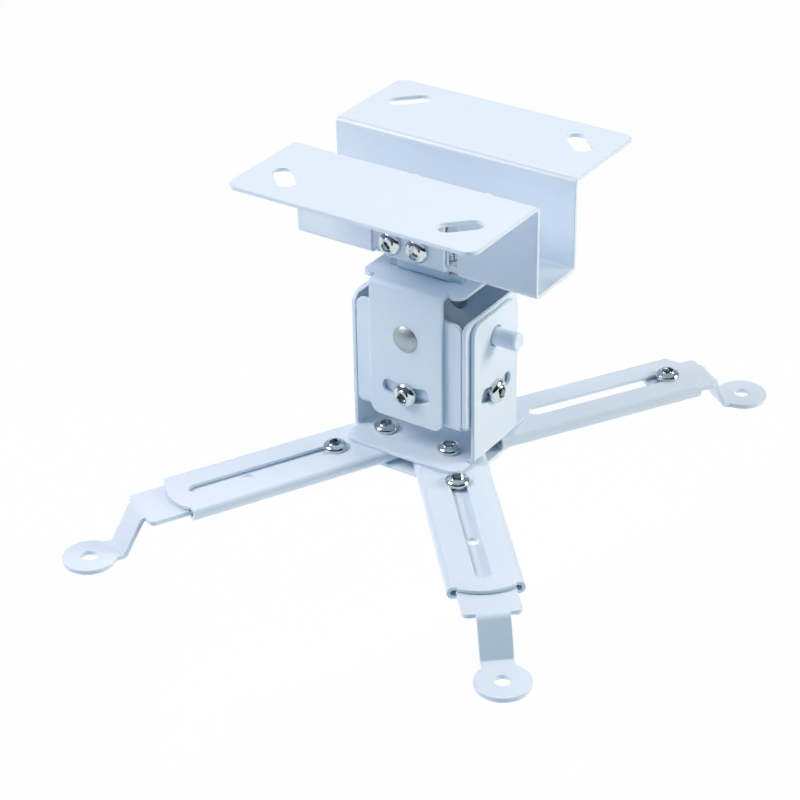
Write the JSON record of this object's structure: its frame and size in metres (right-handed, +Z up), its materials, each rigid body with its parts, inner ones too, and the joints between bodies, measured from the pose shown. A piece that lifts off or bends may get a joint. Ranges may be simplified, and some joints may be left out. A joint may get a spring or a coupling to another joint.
{
  "type": "projector ceiling mount",
  "caption": "Ceiling mount for a projector: hat-shaped ceiling plate, swivelling and tilting yokes round an open box, and slotted arms with sliding drilled eyes.",
  "frame": {"origin": "middle of the ceiling slot pattern, on the face of the flanges that lies against the ceiling", "axes": "+Z up to the ceiling, +X along the hat channel, +Y across it, away from the side the picture looks at"},
  "size_m": [0.2066, 0.2804, 0.1441],
  "materials": {
    "white_powder_coat": "satin powder coat",
    "zinc_plated_steel": "zinc plated",
    "nickel_rivet": "dull nickel",
    "bright_nickel_screw": "bright nickel"
  },
  "bodies": {
    "ceiling": {"ceiling_plate": "white_powder_coat", "adapter_bracket": "white_powder_coat", "adapter_bar_front": "zinc_plated_steel", "adapter_bar_rear": "zinc_plated_steel", "adapter_screws": "bright_nickel_screw", "swivel_bolts": "bright_nickel_screw", "swivel_nuts": "zinc_plated_steel"},
    "yoke": {"upper_yoke": "white_powder_coat"},
    "cross": {"cross_box": "white_powder_coat", "roll_rivet_front": "nickel_rivet", "roll_rivet_rear": "nickel_rivet", "tilt_rivet_left": "nickel_rivet", "tilt_pin_right": "white_powder_coat", "roll_lock_screws": "bright_nickel_screw", "roll_lock_nuts": "zinc_plated_steel", "tilt_lock_screws": "bright_nickel_screw", "tilt_lock_nuts": "zinc_plated_steel"},
    "lower": {"lower_yoke": "white_powder_coat", "clamp_plate": "white_powder_coat", "arm_pivot_screws": "bright_nickel_screw", "arm_pivot_nuts": "zinc_plated_steel", "arm_pivot_sleeves": "zinc_plated_steel"},
    "arm_left": {"arm_channel_left": "white_powder_coat"},
    "slider_left": {"arm_slider_left": "white_powder_coat", "slide_screw_left": "bright_nickel_screw"},
    "arm_front": {"arm_channel_front": "white_powder_coat"},
    "slider_front": {"arm_slider_front": "white_powder_coat", "slide_screw_front": "bright_nickel_screw"},
    "arm_rear": {"arm_channel_rear": "white_powder_coat"},
    "slider_rear": {"arm_slider_rear": "white_powder_coat", "slide_screw_rear": "bright_nickel_screw"}
  },
  "joints": [
    {"name": "swivel", "type": "hinge", "parent": "ceiling", "child": "yoke", "pos_m": [0, 0, -0.0482], "axis": [0, 0, 1], "range_deg": [-15, 15]},
    {"name": "roll", "type": "hinge", "parent": "yoke", "child": "cross", "pos_m": [0, 0, -0.0716], "axis": [0, 1, 0], "range_deg": [-14, 14]},
    {"name": "tilt", "type": "hinge", "parent": "cross", "child": "lower", "pos_m": [0, 0, -0.0716], "axis": [1, 0, 0], "range_deg": [-14, 14]},
    {"name": "arm_left_swing", "type": "hinge", "parent": "lower", "child": "arm_left", "pos_m": [-0.016, -0.0142, -0.1255], "axis": [0, 0, 1], "range_deg": [-60, 8]},
    {"name": "slider_left_slide", "type": "slide", "parent": "arm_left", "child": "slider_left", "axis": [-0.4633, -0.8862, 0], "range_m": [-0.0018, 0.064]},
    {"name": "arm_front_swing", "type": "hinge", "parent": "lower", "child": "arm_front", "pos_m": [0.016, -0.0142, -0.1255], "axis": [0, 0, 1], "range_deg": [-8, 8]},
    {"name": "slider_front_slide", "type": "slide", "parent": "arm_front", "child": "slider_front", "axis": [0.6561, -0.7547, 0], "range_m": [0, 0.0658]},
    {"name": "arm_rear_swing", "type": "hinge", "parent": "lower", "child": "arm_rear", "pos_m": [0.0173, 0.0163, -0.1255], "axis": [0, 0, 1], "range_deg": [-8, 60]},
    {"name": "slider_rear_slide", "type": "slide", "parent": "arm_rear", "child": "slider_rear", "axis": [0.512, 0.859, 0], "range_m": [-0.0658, 0]}
  ]
}
